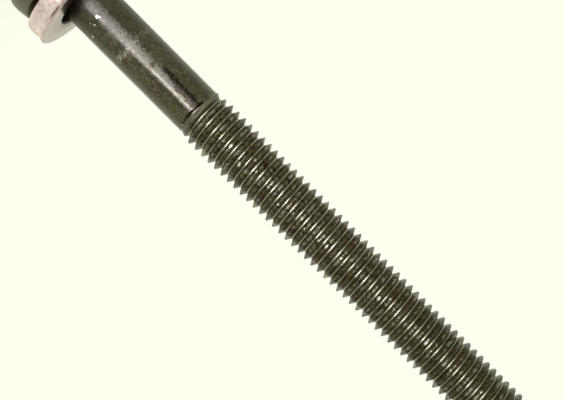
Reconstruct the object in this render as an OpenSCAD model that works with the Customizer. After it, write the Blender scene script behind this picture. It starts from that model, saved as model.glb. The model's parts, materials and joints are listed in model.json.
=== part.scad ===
// Flange-head bolt with a rolled metric thread and a thick loose washer.
// The bolt stands on its head, with its tip up, and the washer lies on the
// seat of its flange. Heights in the modules count from that seat.

/* [Thread] */
// Outside diameter of the thread
thread_d = 8; // [7:0.5:9]
// Pitch of the thread
pitch = 1.25; // [1:0.05:1.5]
// Length of the thread, with its run-out
thread_len = 65; // [40:1:75]
// Length over which the thread's crest rises out of the plain shank
runout_len = 1.9; // [1:0.1:4]
// Length over which its groove reaches full depth
groove_len = 0.9; // [0.5:0.1:3]
// Depth of the small shoulder where the plain shank meets the thread
shoulder = 0.06; // [0.02:0.01:0.12]
// Diameter of the flat end face at the tip
tip_d = 5.8; // [4:0.1:6]

/* [Shank and head] */
// Length from the head's seat to the tip
bolt_len = 90; // [85:1:140]
// Fillet between the shank and the seat
seat_fillet = 0.35; // [0.1:0.05:0.5]
// Largest diameter of the flange
flange_d = 15.4; // [14.8:0.1:16]
// Height of the flange
flange_h = 4.9; // [4.4:0.1:7]
// Rounding of the flange's edge next to the washer
seat_round = 0.9; // [0.3:0.1:1]
// How much the flange flares between that rounding and its widest height
flange_flare = 0.2; // [0.1:0.1:0.4]
// Height at which the flange is widest
flange_wide_h = 2.2; // [1.4:0.1:2.5]
// Rounding of the flange's far edge
flange_round = 1.7; // [0.5:0.1:1.9]
// Width of the hexagon across its flats
hex_af = 12; // [10:0.5:12.5]
// Height of the hexagon beyond the flange
hex_h = 4.6; // [3:0.1:8]
// Slope of the chamfer on the hexagon's corners, in degrees
hex_chamfer = 30; // [15:1:40]

/* [Washer] */
// Diameter over the washer's sharp edge
washer_d = 17; // [16.5:0.1:22]
// Thickness of the washer
washer_t = 3; // [2:0.1:5]
// Clearance between the thread and the washer's bore, on the diameter
bore_clearance = 1.2; // [0.2:0.1:1.5]
// Chamfer at both ends of the bore
bore_chamfer = 0.2; // [0.1:0.1:0.8]
// Rounding of the rim next to the head
rim_round = 0.6; // [0.2:0.1:0.9]
// Depth of the shallow hollow in the rim
rim_dip = 0.3; // [0.05:0.05:0.5]
// Width of the burred lip between the hollow and the free face
lip_w = 0.8; // [0.4:0.1:1]

/* [Hidden] */

// Smoothness of round surfaces
$fn = 96;

// Rolled 60 degree thread: flat crest of an eighth of the pitch, root at the
// minor diameter, and a blank as thick as the pitch diameter
thread_depth = 0.6134 * pitch;
crest_w = pitch / 8;
flank_w = thread_depth * tan(30);
root_w = pitch - crest_w - 2 * flank_w;
crest_r = thread_d / 2;
root_r = crest_r - thread_depth;
shank_r = crest_r - 0.3248 * pitch;
start_r = shank_r - shoulder;
thread_z = bolt_len - thread_len;
tip_r = tip_d / 2;

// Facets of the thread: columns in one turn, and corners of the profile in one
// pitch, each with its height in the pitch and its radius
columns = 20;
corner_z = [0, root_w, root_w + flank_w, root_w + flank_w + crest_w];
corner_r = [root_r, root_r, crest_r, crest_r];
corners = len(corner_z);
rows = corners * (ceil(thread_len / pitch) + 4);
// Height, past the start of the thread, of a root at column 0
thread_phase = 0.98 * pitch;
// A corner nearer than this to an end of the thread is left out
end_gap = 0.02 * pitch;

// Head
head_h = flange_h + hex_h;
hex_r = hex_af / sqrt(3);
hex_face_r = hex_af / 2 - 0.25;
flange_r = flange_d / 2;
seat_r = flange_r - flange_flare - seat_round;
flare_angle = atan(flange_flare / (flange_wide_h - seat_round));

// Washer
washer_r = washer_d / 2;
rim_r = washer_r - rim_dip / 2;
bore_r = (thread_d + bore_clearance) / 2;

// Stands a piece on the ground, with the bolt's head down
module standing() {
    translate([0, 0, head_h])
        children();
}

// Points of an arc about a centre, from one angle to another
function arc(centre, r, from, to, steps) = [
    for (i = [0:steps])
        let (a = from + (to - from) * i / steps)
            centre + r * [cos(a), sin(a)]
];

// ---- Thread ----

// Height of a corner row at a column; one turn further on it is a pitch higher
function row_z(row, col) =
    thread_z + thread_phase + corner_z[row % corners]
    + pitch * (floor(row / corners) - 2 + col / columns);

// First and last row of a column that lie inside the thread's length
function first_row(col) =
    min([for (row = [0:rows - 1]) if (row_z(row, col) > thread_z + end_gap) row]);
function last_row(col) =
    max([for (row = [0:rows - 1]) if (row_z(row, col) < bolt_len - end_gap) row]);
first_rows = [for (col = [0:columns - 1]) first_row(col)];
last_rows = [for (col = [0:columns - 1]) last_row(col)];

// Radius of a corner: it grows out of the shank and ends in the tip's chamfer
function corner_radius(row, z) =
    let (full_r = corner_r[row % corners],
         rise = min(1, (z - thread_z) / (full_r > start_r ? runout_len : groove_len)))
        min(start_r + (full_r - start_r) * rise, tip_r + bolt_len - z);

// Point of a row at a column: rows past the ends stand on the end planes
function thread_point(row, col) =
    let (z = min(bolt_len, max(thread_z, row_z(row, col))),
         r = row < first_rows[col] ? start_r : row > last_rows[col] ? tip_r
             : corner_radius(row, z),
         a = 360 * col / columns)
        [r * cos(a), r * sin(a), z];

// Number of a row's point at a column: past the last column comes the first,
// one pitch higher, and all rows past an end share that end's point
function point_at(row, col) =
    col == columns ? point_at(row + corners, 0)
    : col * rows + min(last_rows[col] + 1, max(first_rows[col] - 1, row));

// A triangle, or nothing where two of its corners are one point
function triangle(a, b, c) = a == b || b == c || c == a ? [] : [[a, b, c]];

module thread() {
    sides = [
        for (col = [0:columns - 1], row = [0:rows - corners - 2])
            let (a = point_at(row, col), b = point_at(row + 1, col),
                 c = point_at(row + 1, col + 1), d = point_at(row, col + 1))
                each concat(triangle(a, b, c), triangle(a, c, d))
    ];
    start = [for (col = [0:columns - 1]) point_at(0, col)];
    end = [for (col = [columns - 1:-1:0]) point_at(rows - corners - 1, col)];
    polyhedron(
        points = [for (col = [0:columns - 1], row = [0:rows - 1]) thread_point(row, col)],
        faces = concat(sides, [start, end]));
}

// ---- Shank and head ----

module shank() {
    cylinder(h = thread_z, r = shank_r);
    rotate_extrude()
        polygon(concat([[0, 0]],
            arc([shank_r + seat_fillet, seat_fillet], seat_fillet, 270, 180, 6),
            [[0, seat_fillet]]));
}

// Turned outline of the flange: seat face with a rounded edge, flaring side and
// rounded far edge
module flange() {
    round_z = -(flange_h - flange_round);
    rotate_extrude()
        polygon(concat(
            [[0, 0]],
            arc([seat_r, -seat_round], seat_round, 90, flare_angle, 8),
            [[flange_r, -flange_wide_h]],
            arc([flange_r - flange_round, round_z], flange_round, 0, -90, 12),
            [[0, -flange_h]]));
}

// Hexagon with its corners turned down to a cone at the head's face
module hexagon() {
    cone_h = (hex_r - hex_face_r) * tan(hex_chamfer);
    mirror([0, 0, 1])
        intersection() {
            cylinder(h = head_h, r = hex_r, $fn = 6);
            union() {
                cylinder(h = head_h - cone_h, r = hex_r);
                translate([0, 0, head_h - cone_h])
                    cylinder(h = cone_h, r1 = hex_r, r2 = hex_face_r);
            }
        }
}

module bolt() {
    color("#3b3a2e")
        standing() {
            thread();
            shank();
            flange();
            hexagon();
        }
}

// ---- Washer ----

// Punched ring: rounded rim next to the head, a shallow hollow further on, and
// a burred lip at the sharp edge of the free face
module washer() {
    dip_z = washer_t - lip_w;
    color("#d8cbc2")
        standing()
            rotate_extrude()
                polygon(concat(
                    [[bore_r, washer_t - bore_chamfer], [bore_r, bore_chamfer],
                     [bore_r + bore_chamfer, 0]],
                    arc([rim_r - rim_round, rim_round], rim_round, 270, 360, 8),
                    [[washer_r - rim_dip, dip_z], [washer_r, washer_t],
                     [bore_r + bore_chamfer, washer_t]]));
}

bolt();
washer();
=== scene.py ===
"""Looks of a flange-head bolt and its loose washer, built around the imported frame."""

import json
import math

import bmesh
import bpy
from mathutils import Matrix, Vector

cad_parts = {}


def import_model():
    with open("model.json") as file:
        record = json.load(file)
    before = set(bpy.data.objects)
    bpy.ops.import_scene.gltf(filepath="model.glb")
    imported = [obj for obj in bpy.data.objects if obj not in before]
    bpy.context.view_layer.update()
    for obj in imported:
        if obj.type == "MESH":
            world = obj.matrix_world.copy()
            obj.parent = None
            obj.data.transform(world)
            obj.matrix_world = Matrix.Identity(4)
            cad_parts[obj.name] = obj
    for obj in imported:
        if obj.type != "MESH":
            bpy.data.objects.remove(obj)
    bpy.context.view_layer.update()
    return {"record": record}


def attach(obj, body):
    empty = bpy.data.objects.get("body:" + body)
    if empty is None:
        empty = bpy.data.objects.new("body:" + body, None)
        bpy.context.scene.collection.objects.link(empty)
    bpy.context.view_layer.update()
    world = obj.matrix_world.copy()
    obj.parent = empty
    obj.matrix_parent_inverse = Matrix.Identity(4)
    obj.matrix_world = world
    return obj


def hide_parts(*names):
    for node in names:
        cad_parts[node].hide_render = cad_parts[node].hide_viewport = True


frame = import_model()

# ---------------------------------------------------------------- sizes, in metres

MM = 0.001

PITCH = 1.25 * MM
THREAD_R = 4.0 * MM
THREAD_DEPTH = 0.6134 * PITCH
ROOT_R = THREAD_R - THREAD_DEPTH
SHANK_R = THREAD_R - 0.3248 * PITCH
SHOULDER = 0.06 * MM
START_R = SHANK_R - SHOULDER
BOLT_LENGTH = 90 * MM
THREAD_START = 25 * MM
RUNOUT = 1.9 * MM
GROOVE_IN = 0.9 * MM
TIP_R = 2.9 * MM
# Height of a root's middle above the thread's start, on the +X side, and the turns
# that are wound below that start and then held to it
ROOT_PHASE = 1.33 * MM
TURNS_BELOW = 2
# Half of a root's flat, and how its corners ease into the flanks, outwards and along
ROOT_HALF = 0.075 * MM
ROOT_EASE_OUT = 0.0175 * MM
ROOT_EASE_ALONG = 0.035 * MM
# A crest, as drops below the full radius and places across its middle, in millimetres
CREST = ((0.07, -0.11), (0.012, -0.07), (0.0, 0.0), (0.012, 0.07), (0.07, 0.11))

FLANGE_R = 7.7 * MM
FLANGE_FLARE = 0.2 * MM
SEAT_ROUND = 0.9 * MM
SEAT_FILLET = 0.35 * MM
FLANGE_WIDE_H = 2.2 * MM
FLANGE_H = 4.9 * MM
FLANGE_ROUND = 1.7 * MM
HEAD_H = 9.5 * MM
HEX_HALF = 6.0 * MM
HEX_FACE_R = 5.75 * MM
HEX_FILLET = 0.3 * MM
# Slope of the chamfer on the hexagon's corners, and how far a flat runs from its
# middle before its corner is blunted, in degrees
HEX_CHAMFER = 30
HEX_FLAT = 27

WASHER_R = 8.5 * MM
WASHER_BORE_R = 4.6 * MM
WASHER_T = 3.0 * MM
BORE_CHAMFER = 0.2 * MM
RIM_ROUND = 0.6 * MM
RIM_IN = 0.13 * MM
# The rim past its rounding, down to the hollow and out to the burred lip: how far
# it lies inside the washer's radius, and its height, in millimetres
RIM = ((0.11, 1.1), (0.13, 1.6), (0.22, 2.0), (0.27, 2.15), (0.21, 2.35), (0.04, 2.8),
       (0.0, 2.92), (0.07, 3.0))
# Radii of the rings of points across the washer's two faces
FACE_RINGS = (7.5 * MM, 6.0 * MM)

# Columns of points round the bolt and the washer, and points of a rounded edge
COLUMNS = 120
WASHER_COLUMNS = 288
ROUND_STEPS = 8
FILLET_STEPS = 6

# Rows of points up the hexagon from the head's face and up the shank from the seat,
# in millimetres, and the close rows that carry the marks of the rolling dies
HEX_ROWS = (0.15, 0.5, 0.8, 1.5, 2.5, 3.5)
SHANK_ROWS = (2, 4, 8, 12, 16, 20, 23)
CLOSE_ROWS = 14
CLOSE_STEP = 0.05 * MM

# Curved mark on the -Y side where the rolling dies began, in millimetres: its
# height above the seat, how much it bows, its ends across the shank, how they
# fade, its depth, its width, and how far from its line the press is worked out
MARK_Z = 24.58
MARK_MIDDLE = 0.6
MARK_BOW = 0.036
MARK_FROM = -1.2
MARK_TO = 2.85
MARK_FADE = 0.3
MARK_DEPTH = 0.07
MARK_WIDTH = 0.07
MARK_REACH = 0.2

# Lip on the -X side where the thread starts, and its reach down the shank and the
# slack at its top, in widths
LIP_RISE = 0.24 * MM
LIP_WIDTH = 0.11 * MM
LIP_REACH = 3
LIP_SLACK = 0.01

# Creases above these angles, in degrees, stay crisp
HEAD_CREASE = 20
THREAD_CREASE = 55
WASHER_CREASE = 40

# Points closer together than this are merged, and a point counts as lying at a
# height or a radius when it is this near to it
MERGE = 1e-6
NEAR = 0.01 * MM

# ---------------------------------------------------------------- place of the bolt

# The bolt stands on its head: its axis is +Z, and its pieces are modelled
# upright from the seat of the flange, then lifted to that seat
MOUNTS = {mount["name"]: mount for mount in frame["record"]["mounts"]}
AXIS = Vector(MOUNTS["thread"]["axis"]).normalized()
SEAT = Vector(MOUNTS["thread"]["pos_m"]) - AXIS * BOLT_LENGTH


# ---------------------------------------------------------------- mesh helpers

def arc(centre, radius, start, end, steps):
    """Points of an arc in the (radius, height) plane, angles in degrees."""
    points = []
    for i in range(steps + 1):
        a = math.radians(start + (end - start) * i / steps)
        points.append((centre[0] + radius * math.cos(a), centre[1] + radius * math.sin(a)))
    return points


def profile_edges(bm, outline):
    """A chain of edges through (radius, height) points in the XZ plane."""
    verts = [bm.verts.new((r, 0.0, z)) for r, z in outline]
    return verts + [bm.edges.new(pair) for pair in zip(verts, verts[1:])]


def spin(bm, geometry, steps, rise=0.0):
    """One full turn about Z, climbing by rise over the turn."""
    bmesh.ops.spin(
        bm, geom=geometry, cent=(0, 0, 0), axis=(0, 0, 1), dvec=(0, 0, rise / steps),
        angle=2 * math.pi, steps=steps, use_merge=rise == 0, use_duplicate=False)
    merge(bm)


def merge(bm):
    bmesh.ops.remove_doubles(bm, verts=bm.verts, dist=MERGE)


def polar(co):
    return math.hypot(co.x, co.y), math.atan2(co.y, co.x)


def set_radius(vert, radius):
    r, _ = polar(vert.co)
    vert.co.x *= radius / r
    vert.co.y *= radius / r


def mark_sharp(bm, low, high, angle):
    """Creases above an angle, in degrees, between two heights stay crisp when shaded."""
    for edge in bm.edges:
        if low <= edge.verts[0].co.z <= high:
            edge.smooth = edge.calc_face_angle(math.pi) < math.radians(angle)


def add_object(bm, name, material):
    mesh = bpy.data.meshes.new(name)
    bm.to_mesh(mesh)
    bm.free()
    mesh.materials.append(material)
    thing = bpy.data.objects.new(name, mesh)
    bpy.context.scene.collection.objects.link(thing)
    return thing


def make_piece(bm, name, material, node):
    bmesh.ops.translate(bm, vec=SEAT, verts=bm.verts)
    for face in bm.faces:
        face.smooth = True
    piece = add_object(bm, name, material)
    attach(piece, "root")
    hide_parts(node)


# ---------------------------------------------------------------- node trees

# Places between the last two radii take their pattern from the first, in millimetres
PATTERN_R = 3.6
PATTERN_FROM = 2.9
PATTERN_TO = 4.1
# Share of a spot's radius that is at full strength
SPOT_CORE = 0.45


class Nodes:
    """A short way to write the node tree of a material or a world."""

    def __init__(self, owner, output="ShaderNodeOutputMaterial"):
        self.owner = owner
        self.owner.use_nodes = True
        self.tree = self.owner.node_tree
        self.tree.nodes.clear()
        self.output = self.add(output)

    def add(self, kind, values=None, **settings):
        node = self.tree.nodes.new(kind)
        for key, value in settings.items():
            setattr(node, key, value)
        for key, value in (values or {}).items():
            if isinstance(value, bpy.types.NodeSocket):
                self.tree.links.new(value, node.inputs[key])
            else:
                node.inputs[key].default_value = value
        return node

    def math(self, operation, a, b):
        return self.add("ShaderNodeMath", {0: a, 1: b}, operation=operation).outputs[0]

    def total(self, *values):
        total = values[0]
        for value in values[1:]:
            total = self.math("ADD", total, value)
        return total

    def product(self, *values):
        product = values[0]
        for value in values[1:]:
            product = self.math("MULTIPLY", product, value)
        return product

    def highest(self, *values):
        highest = values[0]
        for value in values[1:]:
            highest = self.math("MAXIMUM", highest, value)
        return highest

    def local(self):
        """Place on the bolt from the middle of its seat, in millimetres."""
        place = self.add("ShaderNodeTexCoord").outputs["Object"]
        scaled = self.add("ShaderNodeMapping", {
            "Vector": place, "Location": SEAT, "Scale": (MM, MM, MM)}, vector_type="TEXTURE")
        return scaled.outputs[0]

    def split(self, place):
        return self.add("ShaderNodeSeparateXYZ", {"Vector": place}).outputs

    def radius(self, place):
        """Distance from the bolt's axis, in millimetres."""
        across = self.add("ShaderNodeVectorMath", {0: place, 1: (1, 1, 0)}, operation="MULTIPLY")
        length = self.add("ShaderNodeVectorMath", {0: across.outputs[0]}, operation="LENGTH")
        return length.outputs["Value"]

    def drawn_to_one_radius(self, place, radius):
        """Place drawn to one radius, so that a pattern keeps its scale on sloping flanks."""
        near = self.math("MINIMUM", self.math("MAXIMUM", radius, PATTERN_FROM), PATTERN_TO)
        scale = self.math("DIVIDE", PATTERN_R, near)
        scales = self.add("ShaderNodeCombineXYZ", {"X": scale, "Y": scale, "Z": 1.0}).outputs[0]
        return self.add("ShaderNodeVectorMath", {0: place, 1: scales}, operation="MULTIPLY").outputs[0]

    def spot(self, place, centre, radius):
        """One at a centre, falling to nothing at a radius."""
        away = self.add("ShaderNodeVectorMath", {0: place, 1: centre}, operation="DISTANCE")
        return self.ramp(away.outputs["Value"], SPOT_CORE * radius, radius, 1.0, 0.0)

    def band(self, value, low, high, soft):
        """One between two values, fading over a soft width outside them."""
        rise = self.ramp(value, low - soft, low)
        fall = self.ramp(value, high, high + soft, 1.0, 0.0)
        return self.product(rise, fall)

    def noise(self, place, scale, detail, roughness, stretch=(1, 1, 1)):
        moved = self.add("ShaderNodeMapping", {"Vector": place, "Scale": stretch})
        node = self.add("ShaderNodeTexNoise", {
            "Vector": moved.outputs[0], "Scale": scale, "Detail": detail, "Roughness": roughness})
        return node.outputs[0]

    def ramp(self, value, low, high, to_low=0.0, to_high=1.0):
        """Goes smoothly from to_low to to_high while the value goes from low to high.

        Most of a noise lies between 0.35 and 0.65, so a ramp over a noise lies there too.
        """
        node = self.add("ShaderNodeMapRange", {
            "Value": value, "From Min": low, "From Max": high,
            "To Min": to_low, "To Max": to_high}, interpolation_type="SMOOTHSTEP")
        return node.outputs[0]

    def mix(self, share, a, b):
        """Colour a with a share of colour b laid over it."""
        node = self.add("ShaderNodeMix", data_type="RGBA")
        for index, value in ((0, share), (6, a), (7, b)):
            if isinstance(value, bpy.types.NodeSocket):
                self.tree.links.new(value, node.inputs[index])
            else:
                node.inputs[index].default_value = (*value, 1.0)
        return node.outputs[2]

    def bump(self, height, strength, distance, normal=None):
        values = {"Height": height, "Strength": strength, "Distance": distance}
        if normal is not None:
            values["Normal"] = normal
        return self.add("ShaderNodeBump", values).outputs[0]

    def surface(self, shader):
        self.tree.links.new(shader, self.output.inputs["Surface"])
        return self.owner


# ---------------------------------------------------------------- black oxide of the bolt

# The plain shank: two shades of oxide, what mottles them, painted shade at its neck and on
# the -X side of its front, and a darker line beside the gloss
OLIVE_BROWN = (0.042, 0.034, 0.012)
OLIVE_GREEN = (0.036, 0.037, 0.010)
DARK_MOTTLE = (0.016, 0.014, 0.005)
PALE_BLOTCH = (0.125, 0.116, 0.068)
PALE_GRAIN = (0.17, 0.16, 0.12)
# Painted shade at the neck and on one side of the front, and a darker line beside the gloss
SHADE_AND_LINE_OXIDE = (0.010, 0.011, 0.005)
FLANGE_WEAR = (0.085, 0.079, 0.056)

# The thread: its flanks, the shade in its grooves, rubbed crests and bright roots
FLANK_DARK = (0.010, 0.008, 0.001)
FLANK_OLIVE = (0.050, 0.047, 0.014)
FLANK_GRAIN = (0.13, 0.122, 0.055)
FLANK_GREEN = (0.012, 0.017, 0.001)
FLANK_BROWN = (0.032, 0.019, 0.009)
GROOVE_SHADE = (0.006, 0.005, 0.001)
CREST_RUB = (0.26, 0.25, 0.17)
ROOT_BRIGHT = (0.29, 0.29, 0.197)
ROOT_DULL = (0.10, 0.095, 0.05)

# The marks, and the painted sheen, glints and shade among them
RING_SPECKS = (0.36, 0.35, 0.28)
# pale flecks: a painted sheen in the gloss near the head
PAINTED_SHEEN = (0.19, 0.165, 0.17)
# painted sheen at the shoulder where the thread starts
SHOULDER_SHEEN = (0.125, 0.118, 0.075)
# dark of the smear's stain and of the curved mark, and painted shade at the seat and in the bore
STAIN_AND_SHADE = (0.012, 0.008, 0.006)
# bare steel of the nicks, bright enough to stand as painted glints
BARE_STEEL_GLINT = (0.88, 0.88, 0.68)

# Gloss: its strength and tint, roughness, and how metallic each worn place, stain and painted mark looks
OXIDE_IOR = 1.5
GLOSS_TINT = (1.0, 0.97, 0.80, 1.0)
ROUGH_AT_HEAD = 0.31
ROUGH_AT_THREAD = 0.12
ROUGHER_PAST_MARK = 0.07
ROUGHER_THREAD = 0.10
ROOT_METAL = 0.85
NICK_GLINT_METAL = 0.4
RUB_METAL = 0.7
STAIN_AND_SHADE_METAL = 0.9

# Noise patterns: their scale, to a millimetre, detail, roughness and stretch
HUE = (0.22, 3.0, 0.6)
STAINS = (0.3, 3.0, 0.6)
MOTTLE = (0.7, 5.0, 0.65)
RUBBED_PATCHES = (1.0, 4.0, 0.7, (1.0, 1.0, 0.9))
BLOTCHES = (1.9, 4.0, 0.65, (1.0, 1.0, 0.8))
GRAIN = (4.5, 3.0, 0.7)
FLECKS = (3.4, 3.0, 0.7, (1.0, 1.0, 0.7))
RAGGED = (1.7, 4.0, 0.65, (1.0, 1.0, 0.4))
SCRATCHES = (1.6, 3.0, 0.6, (2.5, 2.5, 0.8))

# Bumps: strength, and depth in metres
SCRATCH_BUMP = (0.8, 0.022 * MM)
GRAIN_BUMP = (0.5, 0.012 * MM)
DENT_BUMP = (0.8, 0.05 * MM)

# Where things lie, in millimetres: heights are above the seat, and across is
# along X on the -Y side. A pair is where a change begins and where it is complete.
# Three values are the two edges of a band and how far it fades beyond them.
THREAD_RISE = (25.0, 25.5)
TOOTH_RISE = (25.50, 25.56)
FRONT_SIDE = (0.0, -0.5)
# Painted shade at the neck and on the front's -X side, and a darker line beside the gloss
NECK_RISE = (-0.2, 0.4)
NECK_FADE = (2.0, 13.0)
SHADED_SIDE_ACROSS = (0.2, -1.0)
SHADED_SIDE_BAND = (0.4, 24.6, 0.3)
SHADED_SIDE_FADE = (9.0, 14.0)
DARK_LINE_ACROSS = (0.85, 1.30, 0.25)
DARK_LINE_BAND = (14.5, 23.0, 1.0)
FLANGE_WEAR_RISE = (-0.9, -1.2)
GREEN_RISE = (45.0, 75.0)
ROOT_DULL_RISE = (50.0, 75.0)
FIRST_GROOVE = (25.95, 25.85)
RING_BAND = (12.2, 12.6, 0.5)
RING_ACROSS = (-1.4, 2.4, 0.7)
# Where the painted sheen near the head lies
SHEEN_BAND = (5.5, 14.0, 2.5)
SHEEN_ACROSS = (-0.75, 0.75, 0.25)
# Where the painted sheen at the shoulder lies
SHOULDER_BAND = (24.95, 25.4, 0.12)
SHOULDER_ACROSS = (-0.8, 1.2, 1.2)
LINE_ACROSS = (MARK_FROM, MARK_TO, 0.4)
LINE_FADE = (0.8, 2.2)
SMEAR_BAND = (18.2, 24.3, 0.9)
SMEAR_EDGE = (-1.12, -0.92)
SMEAR_WIDENS = (18.5, 21.5)
SMEAR_LOW_EDGE = (-0.45, 0.08)
SMEAR_SPOT = (-0.05, -3.6, 16.3)
SMEAR_SPOT_R = 0.55
# Painted shade under the flange's seat and on the shank in the washer's bore
SEAT_SHADE_BAND = (-0.72, 0.05, 0.25)
IN_BORE_SHADE_RISE = (0.1, 0.4)
IN_BORE_SHADE_FADE = (3.2, 5.0)
GLOSS_RISE = (6.0, 21.0)

# Distances past the curved mark, in millimetres: where it is darker, and rougher steel past it
LINE_BAND = (-0.15, 0.13, 0.09)
PAST_MARK = (0.05, 0.12)

# Radii, in millimetres, over which the roots end, the flanks begin, their shade
# fades, the first groove darkens and the crests are rubbed
ROOT_END = (3.245, 3.27)
FLANK_START = (3.26, 3.32)
FLANK_SHADE = (3.30, 3.60)
FIRST_GROOVE_R = (3.52, 3.49)
CREST_RUB_R = (3.60, 3.80)

# Bright nicks on the shank and on the crests of the thread, painted as glints too: turn from
# the -Y side towards +X in degrees, height above the seat and radius in millimetres, and how
# much of the oxide is gone
NICKS_AND_GLINTS = (
    (10.6, 6.42, 0.31, 1.0),
    (6.5, 6.75, 0.22, 0.5),
    (56.0, 7.65, 0.20, 1.0),
    (27.5, 6.9, 0.20, 0.6),
    (33.0, 6.3, 0.13, 0.3),
    (52.0, 24.75, 0.15, 0.7),
    (2.1, 31.54, 0.40, 1.0),
    (15.5, 34.05, 0.34, 1.0),
    (18.0, 34.20, 0.28, 0.9),
    (-12.0, 35.27, 0.34, 0.4),
    (2.7, 36.42, 0.30, 1.0),
    (18.5, 41.74, 0.26, 0.7),
    (9.3, 43.97, 0.28, 0.5),
    (3.9, 45.27, 0.42, 0.6),
    (15.3, 46.51, 0.26, 0.8),
    (13.2, 48.92, 0.28, 0.9),
    (9.5, 49.05, 0.24, 0.7),
    (8.2, 50.33, 0.34, 0.7),
    (4.8, 52.90, 0.28, 0.9),
    (7.8, 60.26, 0.38, 1.0),
    (-6.8, 61.45, 0.28, 0.8),
    (-3.0, 69.00, 0.30, 0.5),
    (3.9, 69.05, 0.38, 0.7),
    (7.5, 74.05, 0.28, 0.5),
)
# How far a nick's middle lies inside the crests
NICK_DEPTH = 0.08 * MM

# Faint rubs on the crests, painted as glints too, all of one size: turn and height, as above
GLINT_RUB_SIZE = 0.34
GLINT_RUB_SHARE = 0.17
GLINT_RUBS = (
    (5.8, 26.35), (4.8, 32.78), (17.3, 35.43), (2.9, 37.77), (11.7, 37.77), (-5.8, 39.05),
    (5.8, 39.05), (8.0, 40.31), (-42.5, 40.17), (-29.0, 42.60), (6.0, 42.73), (2.9, 46.60),
    (7.8, 47.83), (-6.8, 53.92), (-5.8, 55.20), (1.2, 56.48), (-3.1, 57.70), (2.9, 59.01),
    (1.9, 62.77), (6.6, 64.05), (7.2, 65.29), (6.2, 66.53), (7.2, 67.79), (-4.3, 67.79),
    (10.3, 70.24), (10.3, 72.74), (-4.3, 74.05), (-3.4, 75.20), (-4.3, 76.50), (5.8, 76.50),
    (6.2, 77.80), (6.2, 79.02), (-4.3, 79.02),
)


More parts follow.
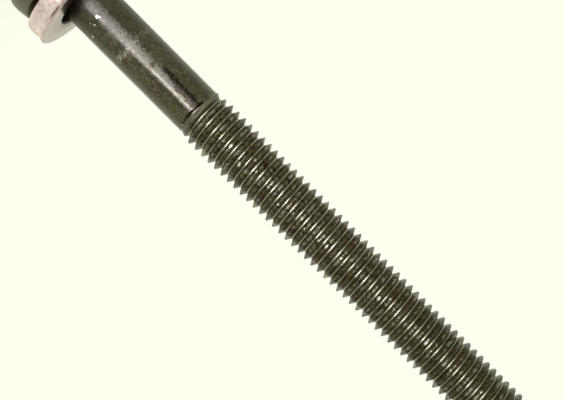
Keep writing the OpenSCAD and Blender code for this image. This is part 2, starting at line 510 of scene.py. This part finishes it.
class BlackOxide(Nodes):
    """Thin black oxide: olive brown, rubbed bright on crests and in the roots of the thread."""

    def __init__(self):
        super().__init__(bpy.data.materials.new("black_oxide_steel"))
        self.place = self.local()
        self.from_axis = self.radius(self.place)
        self.x, y, self.height = self.split(self.place)
        self.front = self.ramp(y, *FRONT_SIDE)
        self.drawn_in = self.drawn_to_one_radius(self.place, self.from_axis)
        self.mottle = self.noise(self.drawn_in, *MOTTLE)
        self.blotch = self.noise(self.drawn_in, *BLOTCHES)
        self.grain = self.noise(self.drawn_in, *GRAIN)
        patches = self.noise(self.drawn_in, *RUBBED_PATCHES)
        self.threaded = self.ramp(self.height, *THREAD_RISE)
        self.rubbed = self.product(
            self.ramp(patches, 0.54, 0.58), self.ramp(self.from_axis, *CREST_RUB_R), self.threaded)
        self.root = self.product(self.threaded, self.ramp(self.from_axis, *ROOT_END, 1.0, 0.0))

    def shade_and_dark_line(self):
        """Painted shade at the neck and on the front's -X side, and a darker line beside the gloss."""
        neck = self.product(
            self.ramp(self.height, *NECK_RISE), self.ramp(self.height, *NECK_FADE, 0.6, 0.0))
        side = self.product(
            self.ramp(self.x, *SHADED_SIDE_ACROSS, 0.0, 0.45),
            self.band(self.height, *SHADED_SIDE_BAND),
            self.ramp(self.height, *SHADED_SIDE_FADE, 1.0, 0.55))
        line = self.product(
            self.band(self.x, *DARK_LINE_ACROSS), self.band(self.height, *DARK_LINE_BAND), 0.55)
        return self.highest(neck, self.product(self.front, self.highest(side, line)))

    def shank(self):
        """Two shades of oxide, mottled dark and flecked pale, and the flange worn paler."""
        hue = self.ramp(self.noise(self.drawn_in, *HUE), 0.42, 0.58)
        color = self.mix(hue, OLIVE_BROWN, OLIVE_GREEN)
        color = self.mix(self.ramp(self.mottle, 0.38, 0.60, 0.55, 0.0), color, DARK_MOTTLE)
        color = self.mix(self.ramp(self.blotch, 0.50, 0.66, 0.0, 0.35), color, PALE_BLOTCH)
        color = self.mix(self.ramp(self.grain, 0.54, 0.68, 0.0, 0.65), color, PALE_GRAIN)
        # painted shade at the neck and on the front's -X side, and a darker line beside the gloss
        color = self.mix(self.shade_and_dark_line(), color, SHADE_AND_LINE_OXIDE)
        return self.mix(self.ramp(self.height, *FLANGE_WEAR_RISE, 0.0, 0.5), color, FLANGE_WEAR)

    def thread(self, color):
        """Mottled teeth, darkest beside the roots, with rubbed crests and bright roots."""
        flank = self.mix(self.ramp(self.blotch, 0.42, 0.58), FLANK_DARK, FLANK_OLIVE)
        flank = self.mix(self.ramp(self.grain, 0.54, 0.68, 0.0, 0.85), flank, FLANK_GRAIN)
        flank = self.mix(self.ramp(self.height, *GREEN_RISE, 0.0, 0.50), flank, FLANK_GREEN)
        stain = self.noise(self.drawn_in, *STAINS)
        flank = self.mix(self.ramp(stain, 0.49, 0.60, 0.0, 0.5), flank, FLANK_BROWN)
        first_groove = self.product(
            self.ramp(self.height, *FIRST_GROOVE), self.ramp(self.from_axis, *FIRST_GROOVE_R), 0.85)
        shade = self.highest(self.ramp(self.from_axis, *FLANK_SHADE, 0.75, 0.0), first_groove)
        flank = self.mix(shade, flank, GROOVE_SHADE)
        tooth = self.product(self.ramp(self.height, *TOOTH_RISE), self.ramp(self.from_axis, *FLANK_START))
        color = self.mix(tooth, color, flank)
        color = self.mix(self.rubbed, color, CREST_RUB)
        color = self.mix(self.root, color, ROOT_BRIGHT)
        dull = self.highest(
            self.ramp(self.mottle, 0.38, 0.52, 0.75, 0.0), self.ramp(self.height, *ROOT_DULL_RISE, 0.0, 0.4))
        return self.mix(self.product(self.root, dull), color, ROOT_DULL)

    def ring(self):
        """Specks in a ring round the shank, fainter at its sides."""
        middle = self.band(self.x, *RING_ACROSS)
        return self.product(
            self.band(self.height, *RING_BAND), self.ramp(self.grain, 0.48, 0.60),
            self.ramp(self.mottle, 0.40, 0.56, 0.1, 0.75), self.ramp(middle, 0.0, 1.0, 0.3, 1.0))

    def painted_sheen(self):
        """Fine pale flecks on the front of the shank near the head: a painted sheen in the gloss."""
        flecks = self.noise(self.place, *FLECKS)
        return self.product(
            self.band(self.x, *SHEEN_ACROSS), self.band(self.height, *SHEEN_BAND),
            self.front, self.ramp(flecks, 0.44, 0.62, 0.0, 0.5))

    def shoulder_sheen(self):
        """A painted sheen on the shank's edge where the thread starts, mottled, strongest in the middle."""
        middle = self.band(self.x, *SHOULDER_ACROSS)
        return self.product(
            self.band(self.height, *SHOULDER_BAND), self.ramp(self.mottle, 0.38, 0.56, 0.1, 0.6),
            self.ramp(middle, 0.0, 1.0, 0.7, 1.0))

    def past_mark(self):
        """How far, in millimetres, a place lies past the curved mark of the rolling dies."""
        off = self.math("SUBTRACT", self.x, MARK_MIDDLE)
        bow = self.product(off, off, MARK_BOW)
        return self.math("SUBTRACT", self.height, self.total(bow, MARK_Z))

    def mark_line(self, past):
        """Darker colour in the curved mark."""
        return self.product(
            self.band(past, *LINE_BAND), self.band(self.x, *LINE_ACROSS),
            self.front, self.ramp(self.x, *LINE_FADE, 1.0, 0.6))

    def smear(self):
        """A ragged smear along the front of the shank, wider towards the thread, and a spot."""
        ragged = self.noise(self.place, *RAGGED)
        drift = self.total(self.x, self.ramp(ragged, 0.35, 0.65, -0.30, 0.30))
        low_edge = self.ramp(self.height, *SMEAR_WIDENS, *SMEAR_LOW_EDGE)
        below = self.math("SUBTRACT", drift, low_edge)
        smear = self.product(
            self.ramp(drift, *SMEAR_EDGE), self.ramp(below, 0.12, -0.12),
            self.band(self.height, *SMEAR_BAND))
        smear = self.highest(smear, self.spot(self.place, SMEAR_SPOT, SMEAR_SPOT_R))
        return self.product(smear, self.front, self.ramp(self.grain, 0.50, 0.62, 0.95, 0.35))

    def seat_and_bore_shade(self):
        """Painted shade under the flange's seat and on the shank in and just above the washer's bore."""
        in_bore = self.product(
            self.ramp(self.height, *IN_BORE_SHADE_RISE), self.ramp(self.height, *IN_BORE_SHADE_FADE, 0.9, 0.0))
        return self.highest(self.band(self.height, *SEAT_SHADE_BAND), in_bore)

    def nicks_and_glints(self):
        """Bright nicks and faint rubs, also painted glints, broken up by the grain."""
        mask = 0.0
        for turn, height, size, share in (*NICKS_AND_GLINTS, *((*rub, GLINT_RUB_SIZE, GLINT_RUB_SHARE) for rub in GLINT_RUBS)):
            angle = math.radians(turn)
            reach = (SHANK_R if height * MM < THREAD_START else THREAD_R - NICK_DEPTH) / MM
            centre = (reach * math.sin(angle), -reach * math.cos(angle), height)
            mask = self.highest(mask, self.product(self.spot(self.place, centre, size), share))
        return self.product(mask, self.ramp(self.grain, 0.44, 0.54, 0.45, 1.0))

    def roughness(self, past):
        """Glossier towards the thread, and rougher on it and past the curved mark."""
        return self.total(
            self.ramp(self.height, *GLOSS_RISE, ROUGH_AT_HEAD, ROUGH_AT_THREAD),
            self.ramp(self.blotch, 0.38, 0.62, -0.04, 0.08),
            self.ramp(self.mottle, 0.38, 0.62, -0.03, 0.08),
            self.ramp(past, *PAST_MARK, 0.0, ROUGHER_PAST_MARK),
            self.product(self.threaded, ROUGHER_THREAD))

    def normal(self):
        """Fine scratches and grain everywhere, and dents on the thread."""
        scratches = self.noise(self.place, *SCRATCHES)
        normal = self.bump(scratches, *SCRATCH_BUMP)
        normal = self.bump(self.grain, *GRAIN_BUMP, normal)
        return self.bump(self.product(self.blotch, self.threaded), *DENT_BUMP, normal)


def black_oxide():
    n = BlackOxide()
    color = n.thread(n.shank())
    color = n.mix(n.ring(), color, RING_SPECKS)
    # painted sheen near the head
    color = n.mix(n.painted_sheen(), color, PAINTED_SHEEN)
    # painted sheen at the shoulder
    color = n.mix(n.shoulder_sheen(), color, SHOULDER_SHEEN)
    past = n.past_mark()
    # the curved mark's darker colour, the smear's stain, and painted shade at the seat and in the bore
    dark = n.highest(n.mark_line(past), n.smear(), n.seat_and_bore_shade())
    color = n.mix(dark, color, STAIN_AND_SHADE)
    nicks_and_glints = n.nicks_and_glints()
    # bare steel of the nicks, and painted glints
    color = n.mix(nicks_and_glints, color, BARE_STEEL_GLINT)
    bare = n.highest(
        n.product(n.root, ROOT_METAL), n.product(nicks_and_glints, NICK_GLINT_METAL),
        n.product(n.rubbed, RUB_METAL), n.product(dark, STAIN_AND_SHADE_METAL))
    shader = n.add("ShaderNodeBsdfPrincipled", {
        "Base Color": color, "Roughness": n.roughness(past), "Normal": n.normal(), "Metallic": bare,
        "IOR": OXIDE_IOR, "Specular Tint": GLOSS_TINT})
    return n.surface(shader.outputs[0])


# ---------------------------------------------------------------- zinc plate of the washer

RIM_DULL = (0.64, 0.49, 0.43)
RIM_PALE = (0.90, 0.76, 0.67)
RIM_DENTS = (0.48, 0.34, 0.27)
RIM_SPECKLE = (1.0, 0.93, 0.85)
# darker colour for the rim's hollow
RIM_HOLLOW_DARK = (0.14, 0.085, 0.06)
FACE_GREY = (0.34, 0.275, 0.24)
FACE_PALE = (0.53, 0.43, 0.395)
# painted shade and reflection of the shank on the face near the bore
FACE_SHADE_NEAR_BORE = (0.19, 0.185, 0.13)
# painted shade on the bore's wall
BORE_WALL_SHADE = (0.012, 0.010, 0.006)

# Noise patterns, as above
RIM_MOTTLE = (0.9, 5.0, 0.65)
HAMMERED = (2.2, 3.0, 0.6)
SPECKLE = (5.0, 2.0, 0.6)
STREAKS = (1.3, 4.0, 0.65, (0.8, 1.4, 1.0))
WORN = (0.45, 3.0, 0.6)

# Heights above the seat, places across and radii, in millimetres, as above
FACE_RISE = (2.94, 2.99)
# Radii over which the painted shade near the bore fades out
FACE_SHADE_NEAR_BORE_R = (4.9, 7.8)
RIM_HOLLOW_BAND = (2.66, 2.88, 0.12)
RIM_HOLLOW_ACROSS = (4.4, 5.6)
BORE_WALL_SHADE_R = (4.85, 4.75)

RIM_ROUGHNESS = 0.45
RIM_METAL = 0.75
# How much smoother and more metallic the face is than the rim
FACE_SMOOTHER = 0.25
FACE_BRIGHTER = 0.2
HAMMERED_BUMP = (1.0, 0.07 * MM)


def zinc_plate():
    """Dull plated steel: hammered pale rim, and a smoother grey face towards the thread."""
    n = Nodes(bpy.data.materials.new("dull_zinc_plate"))
    place = n.local()
    radius = n.radius(place)
    x, _, height = n.split(place)
    mottle = n.noise(place, *RIM_MOTTLE)
    hammered = n.noise(place, *HAMMERED)
    speckle = n.noise(place, *SPECKLE)
    color = n.mix(n.ramp(mottle, 0.36, 0.64), RIM_DULL, RIM_PALE)
    color = n.mix(n.ramp(hammered, 0.54, 0.68, 0.0, 0.40), color, RIM_DENTS)
    color = n.mix(n.ramp(speckle, 0.52, 0.66, 0.0, 0.65), color, RIM_SPECKLE)

    face = n.ramp(height, *FACE_RISE)
    streaks = n.noise(place, *STREAKS)
    plain = n.mix(n.ramp(streaks, 0.38, 0.62), FACE_GREY, FACE_PALE)
    inner = n.math("SUBTRACT", radius, n.ramp(streaks, 0.35, 0.65, -0.6, 0.6))
    # painted shade and reflection of the shank, darker nearer the bore
    plain = n.mix(n.ramp(inner, *FACE_SHADE_NEAR_BORE_R, 0.85, 0.0), plain, FACE_SHADE_NEAR_BORE)
    color = n.mix(face, color, plain)

    worn = n.noise(place, *WORN)
    # darker in the rim's hollow, less so past 5 mm along +X
    hollow_dark = n.product(
        n.band(height, *RIM_HOLLOW_BAND), n.ramp(worn, 0.44, 0.58, 0.85, 0.05),
        n.ramp(x, *RIM_HOLLOW_ACROSS, 1.0, 0.2))
    color = n.mix(hollow_dark, color, RIM_HOLLOW_DARK)
    # painted shade on the bore's wall, which is also kept from shining
    bore = n.ramp(radius, *BORE_WALL_SHADE_R)
    color = n.mix(bore, color, BORE_WALL_SHADE)

    metal = n.total(RIM_METAL, n.product(face, FACE_BRIGHTER))
    shader = n.add("ShaderNodeBsdfPrincipled", {
        "Base Color": color,
        "Roughness": n.math("SUBTRACT", RIM_ROUGHNESS, n.product(face, FACE_SMOOTHER)),
        "Metallic": n.product(metal, n.math("SUBTRACT", 1.0, bore)),
        "Normal": n.bump(hammered, *HAMMERED_BUMP)})
    return n.surface(shader.outputs[0])


# ---------------------------------------------------------------- bolt

def tooth_outline():
    """Rolled 60 degree tooth over one pitch: narrow flat root, flank, rounded crest, flank."""
    eased = ROOT_HALF + ROOT_EASE_ALONG
    root = [(ROOT_R + ROOT_EASE_OUT, -eased), (ROOT_R, -ROOT_HALF),
            (ROOT_R, ROOT_HALF), (ROOT_R + ROOT_EASE_OUT, eased)]
    crest = [(THREAD_R - drop * MM, PITCH / 2 + across * MM) for drop, across in CREST]
    return root + crest


def thread_shape(bm):
    """Winds the tooth up a helix, then holds its ends to the shank and the chamfered tip."""
    tooth = tooth_outline()
    turns = math.ceil((BOLT_LENGTH - THREAD_START) / PITCH) + TURNS_BELOW + 1
    phase = THREAD_START - TURNS_BELOW * PITCH + ROOT_PHASE
    outline = [(r, z + phase + turn * PITCH) for turn in range(turns) for r, z in tooth]
    spin(bm, profile_edges(bm, outline), COLUMNS, PITCH)
    for vert in bm.verts:
        r, _ = polar(vert.co)
        z = vert.co.z
        if z <= THREAD_START:
            r = START_R
        elif z >= BOLT_LENGTH:
            r = TIP_R
        else:
            rise = min(1.0, (z - THREAD_START) / (RUNOUT if r > START_R else GROOVE_IN))
            r = min(START_R + (r - START_R) * rise, TIP_R + BOLT_LENGTH - z)
        set_radius(vert, r)
        vert.co.z = min(BOLT_LENGTH, max(THREAD_START, z))
    merge(bm)


def head_outline():
    """Half section from the middle of the head's face to the thread."""
    outline = [(0.0, -HEAD_H), (HEX_FACE_R / 2, -HEAD_H), (HEX_FACE_R, -HEAD_H)]
    outline += [(HEX_HALF, -HEAD_H + row * MM) for row in HEX_ROWS]
    outline += [(HEX_HALF, -FLANGE_H - HEX_FILLET), (HEX_HALF, -FLANGE_H)]
    centre = (FLANGE_R - FLANGE_ROUND, -(FLANGE_H - FLANGE_ROUND))
    outline += arc(centre, FLANGE_ROUND, -60, 0, ROUND_STEPS)
    flare = math.degrees(math.atan(FLANGE_FLARE / (FLANGE_WIDE_H - SEAT_ROUND)))
    outline += [(FLANGE_R, -FLANGE_WIDE_H)]
    centre = (FLANGE_R - FLANGE_FLARE - SEAT_ROUND, -SEAT_ROUND)
    outline += arc(centre, SEAT_ROUND, flare, 90, ROUND_STEPS)
    outline += arc((SHANK_R + SEAT_FILLET, SEAT_FILLET), SEAT_FILLET, 270, 180, FILLET_STEPS)
    outline += [(SHANK_R, row * MM) for row in SHANK_ROWS]
    outline += [(SHANK_R, THREAD_START - row * CLOSE_STEP) for row in range(CLOSE_ROWS, 0, -1)]
    outline += [(START_R, THREAD_START)]
    return outline


def hexagon_radius(angle):
    """Radius of the hexagon, with blunted corners, at an angle."""
    side = math.radians(60)
    off = (angle + side / 2) % side - side / 2
    return HEX_HALF / math.cos(min(abs(off), math.radians(HEX_FLAT)))


def hexagon_shape(bm):
    """Pulls the turned stub beyond the flange out to a hexagon with chamfered corners."""
    for vert in bm.verts:
        r, angle = polar(vert.co)
        beyond_flange = -HEAD_H + NEAR < vert.co.z < -FLANGE_H + NEAR
        if beyond_flange and abs(r - HEX_HALF) < NEAR:
            radius = hexagon_radius(angle)
            set_radius(vert, radius)
            drop = (radius - HEX_FACE_R) * math.tan(math.radians(HEX_CHAMFER))
            vert.co.z = max(vert.co.z, -HEAD_H + drop)


def rolling_mark(bm):
    """Presses the dies' curved mark into the shank, just before the thread."""
    for vert in bm.verts:
        x, y, z = vert.co / MM
        past = z - MARK_Z - MARK_BOW * (x - MARK_MIDDLE) ** 2
        if y < 0 and abs(past) < MARK_REACH and vert.co.z < THREAD_START - NEAR:
            side = min(x - MARK_FROM, MARK_TO - x) / MARK_FADE
            press = MARK_DEPTH * math.exp(-(past / MARK_WIDTH) ** 2) * min(1.0, max(0.0, side))
            r, _ = polar(vert.co)
            set_radius(vert, r - press * MM)


def rolled_lip(bm):
    """Raises the lip that the dies pushed up on the -X side, where the thread starts."""
    for vert in bm.verts:
        below = (THREAD_START - vert.co.z) / LIP_WIDTH
        if vert.co.x < 0 and -LIP_SLACK <= below < LIP_REACH:
            r, _ = polar(vert.co)
            lift = LIP_RISE * math.exp(-below ** 2) * (vert.co.x / r) ** 2
            set_radius(vert, r + lift)


def join(bm, other):
    """Adds the other mesh to this one."""
    carrier = bpy.data.meshes.new("carrier")
    other.to_mesh(carrier)
    other.free()
    bm.from_mesh(carrier)
    bpy.data.meshes.remove(carrier)
    merge(bm)


def bolt():
    bm = bmesh.new()
    thread_shape(bm)
    head = bmesh.new()
    spin(head, profile_edges(head, head_outline()), COLUMNS)
    hexagon_shape(head)
    rolling_mark(head)
    join(bm, head)
    rolled_lip(bm)
    tip = [edge for edge in bm.edges if edge.is_boundary]
    bmesh.ops.edgenet_fill(bm, edges=tip)
    bmesh.ops.recalc_face_normals(bm, faces=bm.faces)
    mark_sharp(bm, -HEAD_H, THREAD_START, HEAD_CREASE)
    mark_sharp(bm, THREAD_START, BOLT_LENGTH, THREAD_CREASE)
    make_piece(bm, "bolt_body", black_oxide(), "bolt")


# ---------------------------------------------------------------- washer

def washer():
    bm = bmesh.new()
    centre = (WASHER_R - RIM_IN - RIM_ROUND, RIM_ROUND)
    bore = (WASHER_BORE_R, BORE_CHAMFER)
    outline = [bore, (WASHER_BORE_R + BORE_CHAMFER, 0.0), (FACE_RINGS[-1], 0.0)]
    outline += arc(centre, RIM_ROUND, 270, 360, ROUND_STEPS)
    outline += [(WASHER_R - inside * MM, height * MM) for inside, height in RIM]
    outline += [(ring, WASHER_T) for ring in FACE_RINGS]
    outline += [(WASHER_BORE_R + BORE_CHAMFER, WASHER_T), (WASHER_BORE_R, WASHER_T - BORE_CHAMFER), bore]
    spin(bm, profile_edges(bm, outline), WASHER_COLUMNS)
    bmesh.ops.recalc_face_normals(bm, faces=bm.faces)
    mark_sharp(bm, 0, WASHER_T, WASHER_CREASE)
    make_piece(bm, "washer_ring", zinc_plate(), "washer")


# ---------------------------------------------------------------- floor and world

CREAM = (1.0, 1.0, 0.871)
SKY = (1.0, 1.0, 0.95)
AMBIENT = 0.3
# Brightness of what gloss mirrors from the -Y side, and the directions, as shares
# of Y, between which it rises to full
FRONT = 0.38
FRONT_FADE = (-0.3, 0.6)

FLOOR_HALF = 1.5
# How much of its light the floor throws back on the bolt
FLOOR_BOUNCE = 0.75
# Light that reaches the bare floor, the share of the floor's look that comes from
# it and so takes the bolt's shadow, and where that share fades out, in millimetres
FLOOR_LIGHT = 0.46
SHADOW_SHARE = 0.85
SHADOW_FADE = (10.0, 52.0)


def pale_floor():
    """Cream with the bolt's shadow where it is seen; reflections and lamps look past it."""
    n = Nodes(bpy.data.materials.new("pale_floor"))
    path = n.add("ShaderNodeLightPath")
    share = n.ramp(n.radius(n.local()), *SHADOW_FADE, SHADOW_SHARE, 0.0)
    shaded = n.add("ShaderNodeBsdfDiffuse", {"Color": n.mix(share, (0, 0, 0), CREAM)})
    glow = n.add("ShaderNodeEmission", {
        "Color": (*CREAM, 1),
        "Strength": n.math("SUBTRACT", 1.0, n.product(share, FLOOR_LIGHT))})
    look = n.add("ShaderNodeAddShader", {0: shaded.outputs[0], 1: glow.outputs[0]})
    matte = n.add("ShaderNodeBsdfDiffuse", {"Color": (*[c * FLOOR_BOUNCE for c in CREAM], 1)})
    solid = n.add("ShaderNodeMixShader", {
        0: path.outputs["Is Camera Ray"], 1: matte.outputs[0], 2: look.outputs[0]})
    clear = n.add("ShaderNodeBsdfTransparent")
    passing = n.highest(path.outputs["Is Glossy Ray"], path.outputs["Is Shadow Ray"])
    floor_shader = n.add("ShaderNodeMixShader", {0: passing, 1: solid.outputs[0], 2: clear.outputs[0]})
    return n.surface(floor_shader.outputs[0])


def floor():
    bm = bmesh.new()
    bmesh.ops.create_grid(bm, x_segments=2, y_segments=2, size=FLOOR_HALF)
    add_object(bm, "floor", pale_floor())


def world():
    """Cream where it is seen or mirrored, dimmer on the -Y side, and a soft light elsewhere."""
    n = Nodes(bpy.data.worlds.new("studio"), "ShaderNodeOutputWorld")
    path = n.add("ShaderNodeLightPath")
    seen = path.outputs["Is Camera Ray"]
    _, y, _ = n.split(n.add("ShaderNodeTexCoord").outputs["Generated"])
    cream = n.add("ShaderNodeBackground", {
        "Color": (*CREAM, 1), "Strength": n.highest(seen, n.ramp(y, *FRONT_FADE, FRONT, 1.0))})
    light = n.add("ShaderNodeBackground", {"Color": (*SKY, 1), "Strength": AMBIENT})
    sky = n.add("ShaderNodeMixShader", {
        0: n.highest(seen, path.outputs["Is Glossy Ray"]), 1: light.outputs[0], 2: cream.outputs[0]})
    bpy.context.scene.world = n.surface(sky.outputs[0])


# ---------------------------------------------------------------- lamps

# Strips of light, upright beside the bolt: their distance from it, the heights of
# their ends above the seat, and the height where the key changes its turn: the plain
# shank mirrors what lies below it, and the thread what lies above
LIGHT_DISTANCE = 0.8
LIGHT_LOW = -0.255
LIGHT_HIGH = 0.345
LIGHT_SPLIT = -0.035
LIGHT_COLOR = (1.0, 0.97, 1.10)
# Turns in degrees from the -Y side towards +X, radiances and widths
SHANK_KEY_TURN = 16
THREAD_KEY_TURN = 6
KEY_RADIANCE = 23
KEY_WIDTH = 0.14
SOFT_TURN = -4
SOFT_RADIANCE = 5
SOFT_WIDTH = 0.36


def strip_light(name, turn, radiance, width, low, high):
    """An upright strip that faces the bolt, between two heights above its seat."""
    light = bpy.data.lights.new(name, "AREA")
    light.shape = "RECTANGLE"
    light.size = width
    light.size_y = high - low
    light.energy = radiance * math.pi * width * (high - low)
    light.color = LIGHT_COLOR
    lamp = bpy.data.objects.new(name, light)
    bpy.context.scene.collection.objects.link(lamp)
    side = math.radians(turn)
    out = Vector((math.sin(side), -math.cos(side), 0))
    lamp.location = SEAT + AXIS * (low + high) / 2 + out * LIGHT_DISTANCE
    lamp.rotation_euler = out.to_track_quat("Z", "Y").to_euler()


def lights():
    strip_light("shank_key", SHANK_KEY_TURN, KEY_RADIANCE, KEY_WIDTH, LIGHT_LOW, LIGHT_SPLIT)
    strip_light("thread_key", THREAD_KEY_TURN, KEY_RADIANCE, KEY_WIDTH, LIGHT_SPLIT, LIGHT_HIGH)
    strip_light("soft_key", SOFT_TURN, SOFT_RADIANCE, SOFT_WIDTH, LIGHT_LOW, LIGHT_HIGH)


# ---------------------------------------------------------------- camera

# Size of the frame and scale near the middle of the bolt, both in the frame's pixels
FRAME_W = 564
FRAME_H = 400
PX_PER_MM = 7.26
# Distance of the lens from the bolt's axis, in pixels at that scale
CAMERA_DISTANCE_PX = 1520
# Turn of the bolt in the frame
VIEW_ROLL = math.radians(45.1)
# A point near the bolt's axis in the frame, and how far the middle of the washer's
# free face lies before it along the axis and beside the axis
AXIS_POINT_PX = (242.65, 155.18)
FACE_BEFORE_PX = 220.4
FACE_BESIDE_PX = 0.7
# How far the point straight below the lens lies past that face
LENS_ALONG_PX = 330.4
SENSOR_MM = 36


def in_frame(point, along, beside=0.0):
    """A point of the frame moved along the bolt and beside it, towards the frame's lower left."""
    return (point[0] + along * math.cos(VIEW_ROLL) - beside * math.sin(VIEW_ROLL),
            point[1] + along * math.sin(VIEW_ROLL) + beside * math.cos(VIEW_ROLL))


def camera():
    """Looks at the bolt square on from the -Y side, with the lens shifted to frame it."""
    middle = SEAT + AXIS * (WASHER_T + LENS_ALONG_PX / PX_PER_MM * MM)
    toward = Vector((0, -1, 0))
    across = toward.cross(AXIS)
    right = AXIS * math.cos(VIEW_ROLL) + across * math.sin(VIEW_ROLL)
    up = across * math.cos(VIEW_ROLL) - AXIS * math.sin(VIEW_ROLL)
    face = in_frame(AXIS_POINT_PX, -FACE_BEFORE_PX, FACE_BESIDE_PX)
    centre_x, centre_y = in_frame(face, LENS_ALONG_PX)
    data = bpy.data.cameras.new("camera")
    data.sensor_width = SENSOR_MM
    data.lens = SENSOR_MM * CAMERA_DISTANCE_PX / FRAME_W
    data.shift_x = (FRAME_W / 2 - centre_x) / FRAME_W
    data.shift_y = (centre_y - FRAME_H / 2) / FRAME_W
    eye = bpy.data.objects.new("camera", data)
    bpy.context.scene.collection.objects.link(eye)
    turn = Matrix((right, up, toward)).transposed().to_4x4()
    eye.matrix_world = Matrix.Translation(
        middle + toward * (CAMERA_DISTANCE_PX / PX_PER_MM * MM)) @ turn
    bpy.context.scene.camera = eye


floor()
world()
bolt()
washer()
camera()
lights()
bpy.context.scene.view_settings.view_transform = "Standard"
